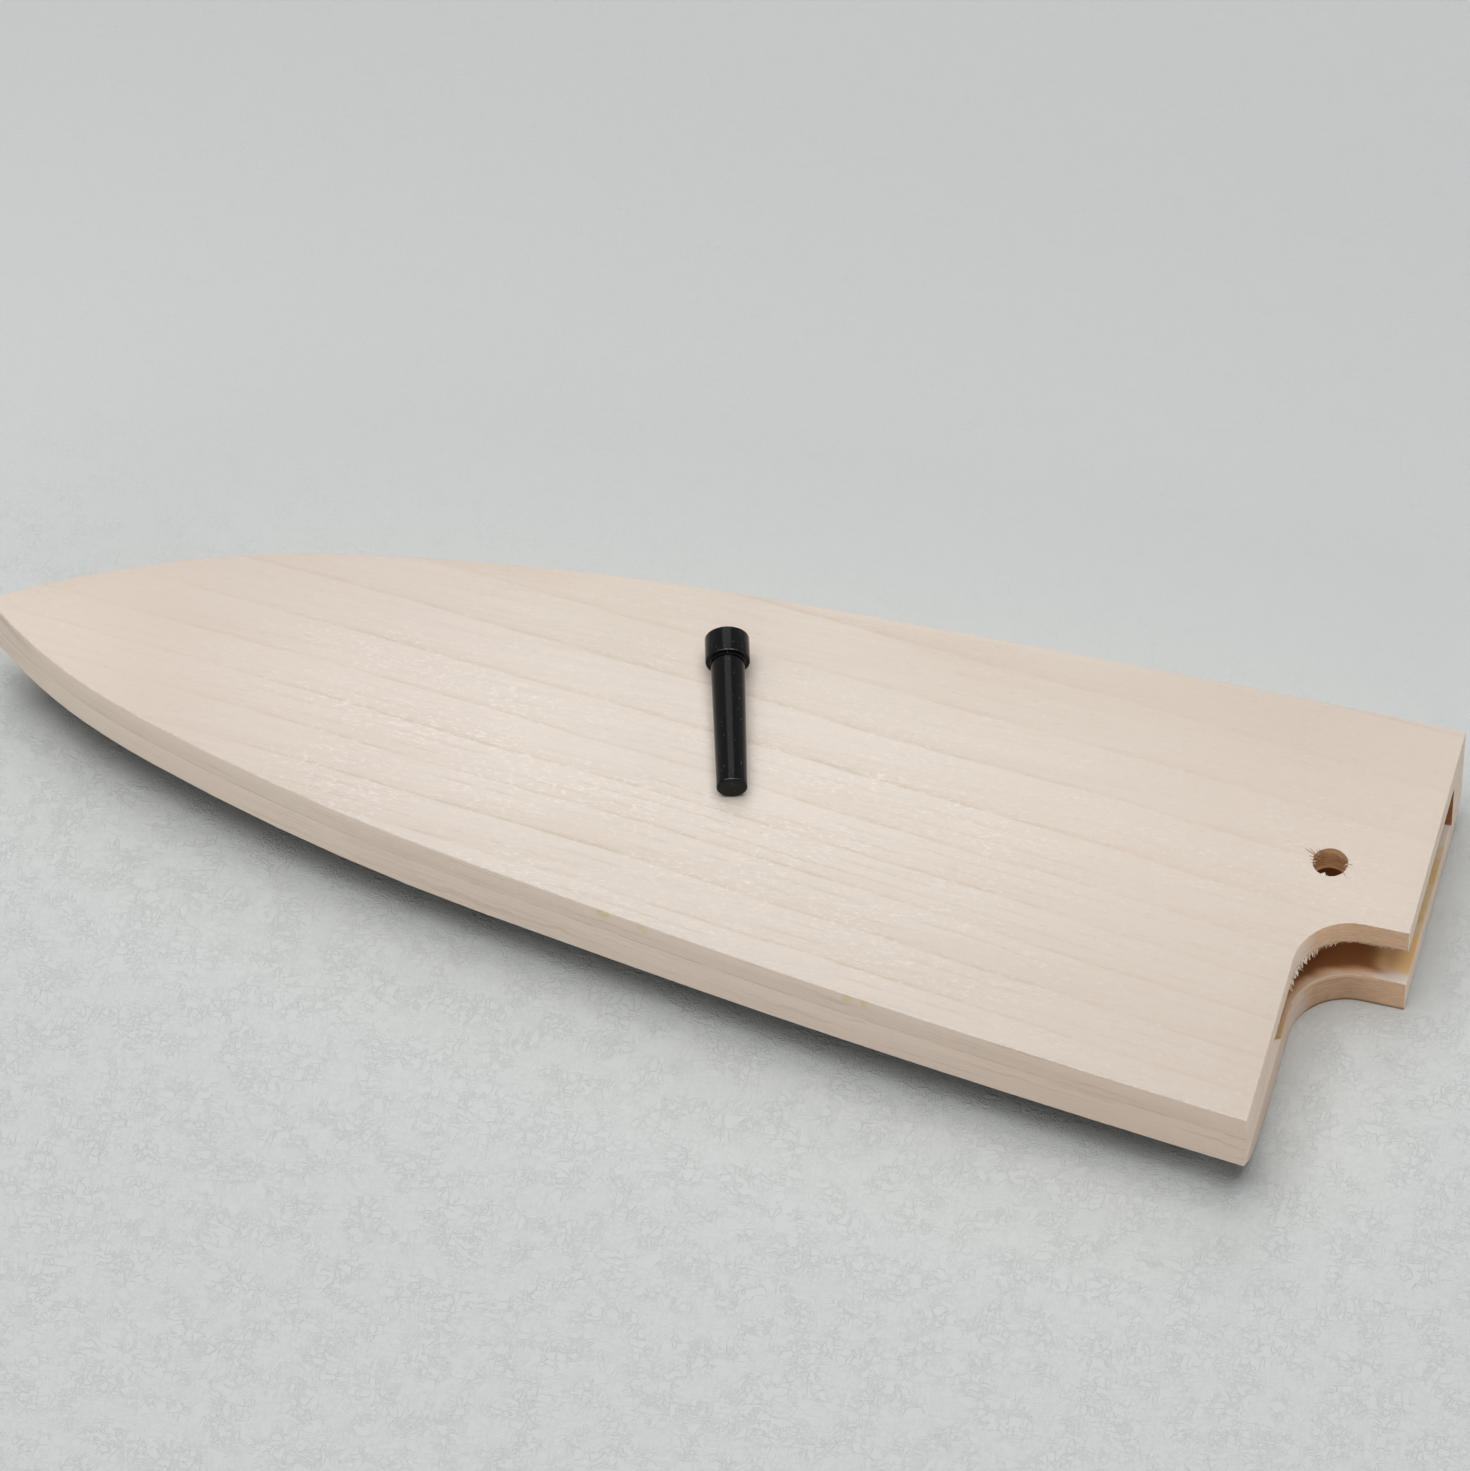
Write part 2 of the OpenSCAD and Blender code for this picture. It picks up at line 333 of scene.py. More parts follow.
# Drops of dried glue on the cutting-edge side: place along the board and half width
DROPS = ((-5.5, 1.3), (0.5, 1.0), (31.5, 1.1), (34.0, 0.6))
# One brown grain line by the spine's edge: how it slants, and where it crosses the middle
BROWN_SLANT, BROWN_Y = 0.05, 41.6

GRAIN_COLOURS = ("Pale", "Dark", "Line", "Warm", "Heel")
SILKY_FLECK, PORE, END_PORE = srgb(250, 242, 233), srgb(165, 140, 115), srgb(150, 128, 108)
SCRATCH, SAW_LINE = srgb(204, 162, 122), srgb(150, 108, 76)
SIDE_LINE, SEAM = srgb(172, 144, 118), srgb(150, 124, 100)
# The second colour is a painted highlight along the eased arris
DROP, ARRIS_HIGHLIGHT = srgb(228, 206, 148), srgb(250, 238, 226)
# The second colour is a painted shadow along the foot of the sawn faces
DRILL_RING, FOOT_SHADOW = srgb(150, 114, 80), srgb(92, 62, 42)
# The first colour is painted light on the pocket's faces, strongest towards its open end
POCKET_END_LIGHT, POCKET_LIP = srgb(252, 240, 228), srgb(222, 188, 156)
PEG_SPECK = srgb(120, 108, 96)
SEEN_BEHIND = srgb(214, 216, 216)

# Factors that tint what lies under them
# The first factor is painted shade on the near part of the flat face
NEAR_SHADE_TINT, BROWN_TINT, DEEPER_TINT = (0.905, 0.9, 0.895), (0.955, 0.935, 0.92), (0.965, 0.95, 0.955)
# Painted light and shade on the sides: darker and browner at the heel, paler at the tip
SIDE_HEEL_SHADE, SIDE_TIP_LIGHT = (0.97, 0.945, 0.93), (1.1, 1.125, 1.15)
# The first factor is painted shade low in the step; the second is painted light on the end grain
# that looks at the heel
LOW_SHADE_TINT, END_LIGHT_TINT, BORE_TINT = (0.76, 0.74, 0.735), (1.09, 1.09, 1.1), (1.26, 1.32, 1.3)
# Painted shade: the paper darker towards the back
PAPER_BACK_SHADE = (0.925, 0.925, 0.93)
# The first factor is painted shade in the paper's fibre dents
PAPER_DENT_SHADE, PAPER_SPECK = 0.955, 1.045

# Small parts of wood: patches in a millimetre, where one tone turns into the other, both tones
SMALL_WOODS = {
    "wood_fibre": (1.7, (0.35, 0.65), srgb(232, 214, 192), srgb(198, 164, 128)),
    "wood_splinter": (2.2, (0.4, 0.6), srgb(176, 138, 100), srgb(142, 104, 70)),
    # This paler wood is also painted light on the torn teeth that stand in the light
    "wood_chip": (2.2, (0.4, 0.6), srgb(250, 240, 230), srgb(240, 222, 204)),
}


def grain_group():
    """Growth rings, streaks, flecks and pores of a plain pale wood, in one solid pattern."""
    tree = bpy.data.node_groups.new("wood_grain", "ShaderNodeTree")
    new_socket = tree.interface.new_socket
    for label in GRAIN_COLOURS:
        new_socket(name=label, in_out="INPUT", socket_type="NodeSocketColor")
    new_socket(name="Colour", in_out="OUTPUT", socket_type="NodeSocketColor")
    for label in ("Fleck", "Height"):
        new_socket(name=label, in_out="OUTPUT", socket_type="NodeSocketFloat")
    given = tree.nodes.new("NodeGroupInput").outputs
    pale, dark, line, warm, heel = (Value(given[label]) for label in GRAIN_COLOURS)
    mm, x, y, z = millimetres(tree)
    # Rings: lines that fan out a little towards the tip and lie at a slant in the depth
    slow = mm.noise((0.012, 0.035, 0.035))
    fine = mm.noise((0.09, 0.22, 0.22), (4, 0, 9))
    wave = (slow - 0.5) * RING_WAVES + (fine - 0.5) * RING_RIPPLES
    across = y * (x * RING_FAN + 1.0)
    along = x * (x * RING_BEND + RING_SLANT)
    ring_at = across + along + ((z - TOP_Z) * RING_TILT + wave)
    share = ring_at.window(RING_LOW, RING_HIGH, smooth=False)
    curve = add(tree, "ShaderNodeFloatCurve", {"Value": share})
    points = curve.mapping.curves[0].points
    ends = list(RING_ENDS)
    while ends[-1] - RING_STEP > RING_LOW:
        ends.append(ends[-1] - RING_STEP)
    span = RING_HIGH - RING_LOW
    wanted = sorted(((end - RING_LOW) / span, n / RING_COUNT) for n, end in enumerate(ends))
    points[0].location = (0.0, wanted[0][1] + 0.5 / RING_COUNT)
    points[1].location = wanted[-1]
    for at in wanted[:-1]:
        points.new(*at)
    for point in points:
        point.handle_type = "VECTOR"
    curve.mapping.update()
    number = Value(curve.outputs[0]) * RING_COUNT
    phase = number.math("FRACT")
    # Each ring line fades in and out along the board, and is broken into short dashes
    strength = mm.noise((0.02, 0.12, 0.12), (31, 5, 2), detail=1.0).window(0.3, 0.7, 0.35)
    dashes = mm.noise((0.16, 0.5, 0.5), (1, 9, 4), 3.0, 0.65).window(0.38, 0.62, 0.12)
    ring = phase.ramp((0.0, 0.0), (0.35, 0.10), (0.8, 0.62), (0.985, 1.0), (1.0, 0.0))
    ring_line = phase.ramp(
        (0.0, 0.3), (0.02, 0.0), (0.88, 0.0), (0.96, 0.85), (0.985, 1.0), (1.0, 0.5)
    )
    # Two finer lines between the rings, on the side of the cutting edge
    between = (number * 3.0).math("FRACT").ramp(
        (0.0, 0.2), (0.06, 0.0), (0.7, 0.0), (0.9, 0.8), (0.96, 1.0), (1.0, 0.4)
    )
    hair = mm.noise((0.05, 0.3, 0.3), (12, 3, 8), 3.0, 0.6).window(0.42, 0.6, 0.0, 0.42)
    between = between * hair * y.window(14.0, -4.0, 0.3)
    streak = mm.noise((0.035, 1.3, 1.3), detail=4.0, rough=0.62)
    broad = mm.noise((0.018, 0.05, 0.05), (9, 1, 3))
    tone = ring * (strength * 0.62) + (streak - 0.5) * 1.15
    tone = tone.math("ADD", (broad - 0.45) * 0.7, use_clamp=True)
    wood = pale.towards(dark, tone)
    wood = wood.towards(line, ring_line * (strength * dashes * 0.62)).towards(line, between)
    # Warmer towards the spine side and the tip, browner towards the heel
    to_spine = (x * 0.05 + y).window(12.0, 36.0) * x.window(60.0, 104.0, 1.0, 0.45)
    warmth = to_spine.either(x.window(-50.0, -100.0) * 0.8)
    warmth = warmth * mm.noise((0.03, 0.1, 0.1), (2, 8, 1)).window(0.25, 0.75, 0.3)
    wood = wood.towards(warm, warmth * 0.55).towards(heel, x.window(10.0, 100.0) * 0.75)
    # Calmer towards the tip
    wood = wood.towards(pale.towards(warm, 0.75), x.window(-40.0, -88.0, 0.0, 0.62))
    deeper = x.window(-20.0, -48.0) * x.window(-95.0, -70.0)
    wood = wood.tinted(DEEPER_TINT, deeper)
    # Flecks: short silky rays in groups. Pores: short thin dark dashes.
    grouped = mm.noise((0.05, 0.12, 0.12), (7, 7, 7)).window(0.38, 0.62)
    ray = mm.noise((1.0, 2.2, 2.2), detail=3.0, rough=0.7).window(0.50, 0.66)
    fleck = ray * (grouped * 0.65 + 0.35)
    pore = mm.noise((0.5, 6.5, 6.5), detail=1.0).window(0.66, 0.76)
    spread = x.window(-78.0, -35.0, 0.2) * x.window(20.0, 70.0, 1.0, 0.35)
    spread = spread * y.window(27.0, 8.0, 0.3)
    wood = wood.towards(SILKY_FLECK, fleck * spread * 0.66).towards(PORE, pore * 0.16)
    height = streak * 0.6 + fleck * 0.5 - pore * 0.8
    add(tree, "NodeGroupOutput", {"Colour": wood, "Fleck": fleck, "Height": height})
    return tree


def wood_material(name, grain, board):
    """Wood of one board, with sawn faces and the pocket's painted shade and light, from the mesh's
    own marks.
    """
    tree = material(name)
    colours = {label: getattr(board, label.lower()) for label in GRAIN_COLOURS}
    grown = add(tree, "ShaderNodeGroup", colours, node_tree=grain)
    wood, fleck, height = (Value(socket) for socket in grown.outputs)
    mm, x, y, z = millimetres(tree)
    cut, inside = mark(tree, "cut"), mark(tree, "inside")
    to_heel, _, upward = facing(tree)
    # Sawn and drilled faces: browner, with a saw's fine scratches
    scratch = mm.noise((0.6, 0.6, 3.5), detail=3.0, rough=0.6).window(0.3, 0.7)
    saw_line = mm.noise((0.12, 0.12, 5.5), (3, 3, 3), 3.0, 0.7).window(0.52, 0.72, 0.0, 0.55)
    sawn = scratch.between(board.cut, SCRATCH).towards(SAW_LINE, saw_line)
    # Painted shade: a little greyer towards the cutting edge's side of the flat face
    near = y.window(8.0, -30.0, 0.0, 0.9) * upward.window(0.8, 0.95)
    wood = wood.tinted(NEAR_SHADE_TINT, near)
    brown = abs(x * BROWN_SLANT + y - BROWN_Y).window(0.35, 0.1) * x.window(82.0, 94.0)
    wood = wood.tinted(BROWN_TINT, brown)
    # Painted light on the sides: paler than the flat face, browner and darker at the heel and paler
    # again at the tip
    side = upward.window(0.75, 0.35)
    wood = wood.towards(board.side, side * 0.55)
    long_side = side * to_heel.window(0.9, 0.6)
    wood = wood.tinted(SIDE_HEEL_SHADE, long_side * x.window(0.0, 80.0))
    wood = wood.tinted(SIDE_TIP_LIGHT, long_side * x.window(-10.0, -80.0))
    # Long wavy grain lines along the sides, and the thin dark line of the joint
    bent = mm.noise((0.2, 0.2, 0.12), (8, 3, 1))
    flow = vector(x * 0.025, y * 0.025, (bent * 2.0 + z) * 1.5)
    side_line = flow.noise(1.0, detail=3.0, rough=0.6).window(0.52, 0.63)
    broken = mm.noise((0.07, 0.07, 0.3), (5, 0, 5), 3.0).window(0.4, 0.6, 0.15)
    wood = wood.towards(SIDE_LINE, side_line * broken * (side * 0.22))
    seam = abs(z - SPLIT_Z).window(0.18, 0.05) * side * bent.window(0.35, 0.6, 0.0, 0.3)
    wood = wood.towards(SEAM, seam)
    # A few drops of glue that ran down from the flat face's edge
    drops = (abs((x - at) / half).window(1.0, 0.4) for at, half in DROPS)
    drop = functools.reduce(Value.either, drops) * mm.noise(0.9).window(0.35, 0.6, 0.3) * side
    drop = drop * z.window(15.6, 17.0, 0.0, 0.75) * y.window(6.0, -4.0)
    wood = wood.towards(DROP, drop)
    # Painted highlight: the eased arris is a little frayed, and a pale broken line is painted where
    # it would catch the light
    frayed = mm.noise(1.4, (2, 2, 2), 3.0, 0.7).window(0.42, 0.58)
    arris = upward.window(0.3, 0.5) * upward.window(0.985, 0.9) * frayed * z.window(17.0, 17.4)
    wood = wood.towards(ARRIS_HIGHLIGHT, arris * 0.7)
    # Painted shade: the rounded underside is made much darker than the wood
    under_shade = upward.window(-0.3, -0.8) * z.window(12.0, 11.0)
    wood = wood.towards(board.under, under_shade)
    # End grain that looks straight at the heel stays pale, faces along the grain are browner
    in_bore = mm.scaled((1, 1, 0), -HOLE).length().window(3.1, 2.9)
    along = x.window(STEP_X + 0.45, STEP_X + 2.4, 0.08).either(in_bore)
    browner = cut * along
    wood = wood.towards(sawn, browner)
    # Painted shade: the carved half's part of the cut is darker and redder. Painted light: faces
    # that look straight at the heel are paler
    low = cut * z.window(7.0, 6.4) * x.window(103.5, 97.0) * (1.0 - in_bore)
    wood = wood.tinted(LOW_SHADE_TINT, low).tinted(END_LIGHT_TINT, to_heel.window(0.9, 0.98) * cut)
    # End grain: tiny dark pores
    prick = mm.noise((0.4, 3.4, 5.0), (6, 6, 6), rough=0.6).window(0.6, 0.7)
    wood = wood.towards(END_PORE, prick * to_heel.window(0.86, 0.97, 0.0, 0.34))
    # The drill left rings on the hole's wall
    bored = mm.noise((0.25, 0.25, 2.6), (3, 1, 8), 3.0, 0.7).window(0.48, 0.62)
    drilled = in_bore * cut
    wood = wood.towards(DRILL_RING, bored * drilled * 0.62).tinted(BORE_TINT, drilled)
    # Painted shadow: darker along the foot of the sawn faces, where they meet the paper
    wood = wood.towards(FOOT_SHADOW, z.window(0.75, 0.2) * browner * 0.85)
    # Pocket: painted shade from a little way inside the step and the open end, and painted light
    # towards the open end
    past_x = (NOTCH_X - x).either(0.0)
    past_y = (y - (NOTCH_Y - NOTCH_R)).either(0.0)
    from_step = vector(past_x, past_y).length() - NOTCH_R
    mottle = mm.noise((0.25, 0.5, 0.5), detail=3.0)
    depth = from_step.math("MINIMUM", HEEL_X - x) + (mottle - 0.5) * 1.4
    away = (mottle * 3.0 + x).window(105.0, 101.9)
    pocket_shade = depth.window(0.5, 2.1) * depth.window(34.0, 22.0) * away
    corner = y.window(29.9, 30.3)
    # Painted light: the pocket's faces paler, most towards its open end
    wood = wood.towards(POCKET_END_LIGHT, x.window(98.0, 101.0, 0.3, 0.85) * inside)
    # Painted half-shade: orange from the lip inwards, less near the open end
    pocket_half_shade = depth.window(-0.3, 1.0) * x.window(102.5, 99.5, 0.1)
    wood = wood.towards(board.pocket_half_shade, pocket_half_shade * inside)
    # Painted shade: the darkest brown, deeper in the pocket and by its wall on the spine side
    wood = wood.towards(board.pocket_shade, pocket_shade.either(corner) * inside)
    # Dried glue: golden patches near the open end, on the pocket's floor and on the sloping side
    golden = y.window(1.6, 4.2) * y.window(26.6, 25.0) * x.window(97.9, 102.4)
    low_wall = y.window(-9.0, -14.0) * from_step.window(3.0, 1.0)
    patch = mm.noise((0.12, 0.22, 0.2), (0, 5, 1))
    glued = golden.either(low_wall) * inside * patch.window(0.4, 0.6, 0.45, 0.95)
    wood = wood.towards(board.glue, glued)
    old = x.window(99.4, 102.2) * from_step.window(1.2, 2.6) * y.window(12.0, 8.0)
    wood = wood.towards(board.olive, old * inside * patch.window(0.3, 0.55, 0.86))
    # The eased edge between the pocket's floor and the step
    lip = abs(from_step).window(0.5, 0.3) * abs(z - LIP_Z).window(0.9, 0.7)
    lip = lip * x.window(102.0, 99.5, 0.0, 0.6) * y.window(-15.5, -14.0)
    wood = wood.towards(POCKET_LIP, lip)
    rough = fleck.window(0.0, 1.0, 0.62, 0.46, smooth=False)
    surface(tree, wood, rough, 0.27, (height, 0.35, 0.12 * MM))


def peg_material(peg):
    """Black paint with small specks, and a painted grey highlight on the rims where they face up.
    """
    tree = material("turned_black")
    mm = millimetres(tree)[0]
    smear = mm.noise((0.8, 0.25, 0.8), detail=3.0).window(0.3, 0.7, 0.13, 0.2)
    speck = mm.noise((3.0, 1.5, 3.0), detail=1.0).window(0.71, 0.76)
    black = (speck * 0.35).between(peg.black, PEG_SPECK)
    # Painted highlight: grey on the rims where they face up
    worn = mark(tree, "worn") * facing(tree)[2].window(0.8, 0.93)
    worn = worn * mm.noise(1.1).window(0.4, 0.6, 0.35)
    fine = mm.noise((6, 1.2, 6), detail=3.0)
    surface(tree, black.towards(peg.worn, worn), smear, 0.15, (fine, 0.15, 0.05 * MM))


def paper_material(stage):
    """Pale paper with shallow curled fibres. They come in patches and fade towards the back. The
    fibres' dents and the paper towards the back are painted darker, as shade.
    """
    tree = material("paper")
    mm, _, back, _ = millimetres(tree)
    warp = mm.made("ShaderNodeVectorMath", {0: mm, 1: mm.noise(0.25)}, operation="ADD")
    fibre = abs(warp.noise((0.4, 0.8, 1.0)) - 0.5)
    curl = abs(warp.noise((0.9, 0.4, 1.0), (50, 20, 0)) - 0.47)
    relief = fibre.math("MINIMUM", curl).window(0.0, 1 / 24, 1.0, 0.0, smooth=False)
    patch = mm.noise(0.2, detail=3.0).window(0.4, 0.6, 0.35)
    amount = patch * back.window(70.0, -25.0, 0.12)
    relief = relief * amount
    speck = warp.noise((0.5, 0.7, 1.0), (9, 9, 0), rough=0.6).window(0.58, 0.72) * amount
    paper = Vector(stage.paper)
    # Painted shade: the fibre dents a little darker
    tone = (relief * 0.56).between(paper, paper * PAPER_DENT_SHADE)
    tone = tone.towards(paper * PAPER_SPECK, speck)
    # Painted shade: the paper darker towards the back
    tone = tone.tinted(PAPER_BACK_SHADE, back.window(50.0, 150.0))
    surface(tree, tone, 0.85, 0.2, (speck - relief, 0.47, 0.3 * MM))


# ---- mesh helpers


def placed(name, data):
    """A new object of the scene, at the origin."""
    piece = bpy.data.objects.new(name, data)
    bpy.context.scene.collection.objects.link(piece)
    return piece


def meshed(name, bm, materials):
    """The bmesh as an object with its materials."""
    mesh = bpy.data.meshes.new(name)
    bm.to_mesh(mesh)
    bm.free()
    for one in materials:
        mesh.materials.append(bpy.data.materials[one])
    return placed(name, mesh)


def finished(name, bm, materials, body="guard"):
    """The bmesh as a piece of the part, with its body and finish slot."""
    piece = meshed(name, bm, materials)
    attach(piece, body)
    return piece


def on_step(point, slack=0.06):
    """True where a point, in metres, lies on the upright faces of the step."""
    x, y = point.x / MM, point.y / MM
    if abs(x - STEP_X) < slack and y < -NOTCH_R + slack:
        return True
    if abs(y - NOTCH_Y) < slack and x > NOTCH_X - slack:
        return True
    reach = math.hypot(x - NOTCH_X, y + NOTCH_R)
    return abs(reach - NOTCH_R) < slack and x < NOTCH_X + slack and y > -NOTCH_R - slack


def in_hole(point, slack=0.06):
    """True where a point, in metres, lies on the hole's wall."""
    return abs(math.hypot(point.x / MM - HOLE.x, point.y / MM - HOLE.y) - HOLE_R) < slack


def eased(value, low, high):
    """0 at low, 1 at high, with a smooth run between them."""
    share = min(max((value - low) / (high - low), 0.0), 1.0)
    return share * share * (3 - 2 * share)


def plane_near_side(bm):
    """Moves the cutting-edge side in by a fraction of a millimetre along the tip half."""
    for v in bm.verts:
        x, y = v.co.x / MM, v.co.y / MM
        run = eased(x, PLANED_FROM, PLANED_FULL) * eased(x, PLANED_TIP, PLANED_END)
        v.co.y += PLANED * MM * run * eased(y, *PLANED_ACROSS)


def board_shape(node):
    """A merged copy of a CAD board, its flat faces whole again, with layers for its marks."""
    bm = bmesh.new()
    bm.from_mesh(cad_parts[node].data)
    bmesh.ops.remove_doubles(bm, verts=bm.verts[:], dist=0.002 * MM)
    plane_near_side(bm)
    flat = math.radians(0.15)
    bmesh.ops.dissolve_limit(bm, angle_limit=flat, verts=bm.verts[:], edges=bm.edges[:])
    bm.edges.layers.float.new("bevel_weight_edge")
    bm.faces.layers.float.new("cut")
    bm.faces.layers.float.new("inside")
    bm.normal_update()
    return bm


def mark_edges(bm, board, top_z=math.inf):
    """Bevel weights: eased outer arris, crisp cuts, and a hair at the glue line."""
    weight = bm.edges.layers.float["bevel_weight_edge"]
    wide = board.lip_arris
    crease = math.radians(28)
    for edge in bm.edges:
        edge.smooth = True
        if len(edge.link_faces) != 2 or edge.calc_face_angle(0.0) < crease:
            continue
        a, b = (v.co for v in edge.verts)
        middle = (a + b) / 2
        at_joint = all(abs(end.z - SPLIT_Z * MM) < CLOSE for end in (a, b))
        at_top = all(abs(end.z - top_z) < CLOSE for end in (a, b))
        sawn = on_step(middle) or abs(middle.x - HEEL_X * MM) < CLOSE
        if in_hole(a, 0.2) and in_hole(b, 0.2):
            edge[weight] = 0.0
            edge.smooth = False
        elif at_joint:
            edge[weight] = board.joint_arris / wide
        elif at_top and not sawn:
            edge[weight] = board.top_arris / wide
        elif on_step(middle) and LIP_LOW_Z < middle.z / MM < LIP_HIGH_Z:
            edge[weight] = 1.0
        else:
            edge[weight] = board.cut_arris / wide


def mark_faces(bm):
    """Marks the sawn and drilled faces, which the wood reads."""
    cut = bm.faces.layers.float["cut"]
    for face in bm.faces:
        face.smooth = True
        if abs(face.normal.z) >= UPRIGHT:
            continue
        if all(in_hole(v.co, 0.25) for v in face.verts):
            face[cut] = 1.0
        elif all(on_step(v.co, 0.3) for v in face.verts):
            face[cut] = 0.8


def with_bevel(piece, board):
    bevel = piece.modifiers.new("eased_edges", "BEVEL")
    bevel.limit_method = "WEIGHT"
    bevel.width = board.lip_arris
    bevel.segments = 3
    bevel.harden_normals = True


def edges_of(parts):
    """The edges of some faces, each once and in the same order in each run."""
    return list(dict.fromkeys(e for part in parts for e in part.edges))


def cut_up(bm, edge, cuts):
    """The new vertices of an edge that is cut into pieces."""
    made = bmesh.ops.subdivide_edges(bm, edges=[edge], cuts=cuts)["geom_inner"]
    return [v for v in made if isinstance(v, bmesh.types.BMVert)]


def around(turn):
    """The direction that points away from an upright axis at an angle."""
    return Vector((math.cos(turn), math.sin(turn), 0))


def beside(out):
    """The level direction at a right angle to another one."""
    return Vector((-out.y, out.x, 0))


def splinter(bm, root, way, long, wide, bend):
    """One closed, tapered splinter from its root point, bent more and more towards its tip."""
    tip_share, flat = 0.12, 0.6
    before = len(bm.verts)
    bmesh.ops.create_cone(
        bm, cap_ends=True, segments=5, radius1=wide / 2, radius2=wide * tip_share, depth=long
    )
    bm.verts.ensure_lookup_table()
    sides = [
        e
        for v in bm.verts[before:]
        for e in v.link_edges
        if v.co.z > 0 and abs(e.verts[0].co.z - e.verts[1].co.z) > long / 2
    ]
    bmesh.ops.subdivide_edges(bm, edges=sides, cuts=3)
    bm.verts.ensure_lookup_table()
    turn = way.to_track_quat("Z", "Y").to_matrix()
    for v in bm.verts[before:]:
        share = v.co.z / long + 0.5
        v.co = turn @ Vector((v.co.x, v.co.y * flat, share * long)) + root + bend * share * share


def step_point(along):
    """Point and outward direction on the step, by the distance in mm from the curve's start."""
    quarter = NOTCH_R * math.pi / 2
    if along < 0:
        return Vector((STEP_X, -NOTCH_R + along, 0)), Vector((1, 0, 0))
    if along > quarter:
        return Vector((NOTCH_X + along - quarter, NOTCH_Y, 0)), Vector((0, -1, 0))
    out = -around(math.pi - along / NOTCH_R)
    centre = Vector((NOTCH_X, NOTCH_Y - NOTCH_R, 0))
    return centre - out * NOTCH_R, out


# ---- operators

# Torn lower edge of the step, in millimetres: height of the torn band, width of the ring that
# is kept around the underside, and the length of a piece on the curve and elsewhere
TORN_BAND, KEPT_RING = 0.35, 0.6
FINE_PIECE, COARSE_PIECE = 0.14, 0.6
TORN_DOWN = 3.6
CURVE_Y = -10.0


class GUARD_OT_flat_board(bpy.types.Operator):
    """Flat half: crisp board with an eased outer arris, a drilled hole and a sawn step"""

    bl_idname = "guard.flat_board"
    bl_label = "Flat Board"

    def execute(self, context):
        board = context.scene.guard_board
        rng = random.Random(SEED)
        bm = board_shape("flat_half")
        low = SPLIT_Z * MM
        # A narrow band above the lower arris of the step, so that only it is torn
        faces = [
            f
            for f in bm.faces
            if abs(f.normal.z) < UPRIGHT and all(on_step(v.co) for v in f.verts)
        ]
        if not faces:
            raise RuntimeError("the step's faces weren't found on the flat half")
        geom = faces + edges_of(faces) + list(dict.fromkeys(v for f in faces for v in f.verts))
        band = (0, 0, low + TORN_BAND * MM)
        bmesh.ops.bisect_plane(bm, geom=geom, dist=MERGED, plane_co=band, plane_no=UP)
        torn = [
            e
            for e in bm.edges
            if all(abs(v.co.z - low) < VERY_CLOSE and on_step(v.co) for v in e.verts)
            and e.calc_length() > CLOSE
        ]
        mark_edges(bm, board, TOP_Z * MM)
        mark_faces(bm)
        weight = bm.edges.layers.float["bevel_weight_edge"]
        # A narrow ring around the underside keeps the torn points away from its large face
        under = [f for f in bm.faces if f.normal.z < -0.9]
        bmesh.ops.inset_region(bm, faces=under, thickness=KEPT_RING * MM, use_even_offset=True)
        for e in torn:
            e[weight] = 0.0
        for e in torn:
            if not e.is_valid:
                continue
            middle = (e.verts[0].co + e.verts[1].co) / 2
            on_curve = middle.x > STEP_X * MM + CLOSE or middle.y > CURVE_Y * MM
            piece = (FINE_PIECE if on_curve else COARSE_PIECE) * MM
            ends = set(e.verts)
            for v in cut_up(bm, e, max(1, round(e.calc_length() / piece))):
                if v not in ends:
                    way = (rng.uniform(-1, 1), rng.uniform(-1, 1), rng.uniform(0, TORN_DOWN))
                    v.co += Vector(way) * board.ragged * (1.0 if on_curve else 0.3)
        # The drill left the rim a little ragged where it crossed the grain
        for z in (TOP_Z * MM, low):
            rim = [
                e
                for e in bm.edges
                if all(in_hole(v.co) and abs(v.co.z - z) < VERY_CLOSE for v in e.verts)
            ]
            for e in rim:
                for v in cut_up(bm, e, 2):
                    out = (v.co - HOLE * MM).to_2d().normalized().to_3d()
                    v.co += out * board.ragged * rng.uniform(0.0, 1.0) * out.x**2
        piece = finished("flat_board", bm, ["wood_flat"])
        with_bevel(piece, board)
        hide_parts("flat_half")
        return {"FINISHED"}


# Torn wood, by the distance in mm from the start of the step's curve
FIBRES_FROM, FIBRES_RUN = -4.5, 22.5
FIBRES_LONG_FROM, FIBRES_LONG_TO, FIBRES_HALF_TO = -1.5, 6.5, 9
TEETH_FROM, TEETH_BIG_TO, TEETH_TO = -1.6, 6.8, 9.5
TEETH_LIT_FROM, TEETH_LIT_TO = 0.4, 6.0
TOOTH_LONG, TOOTH_WIDE, TOOTH_BEND = 0.86, 0.44, 0.14
# Curls: distance and length, in millimetres
CURLS = ((2.6, 1.1), (2.75, 0.8))
CURL_WIDE = 0.22
# Around the hole: turn in degrees, length and width in millimetres
SPLINTERS = (
    *((163, 1.9, 0.17), (158, 1.3, 0.14), (171, 0.8, 0.14), (148, 0.6, 0.13)),
    *((184, 0.6, 0.13), (139, 0.5, 0.12), (196, 0.45, 0.12), (8, 0.75, 0.16)),
    *((-4, 0.4, 0.13), (-31, 0.95, 0.16), (20, 0.35, 0.12)),
)
CHIPS = ((-103, 0.75, 0.6), (-97, 0.55, 0.5), (-109, 0.5, 0.45), (-88, 0.35, 0.4))


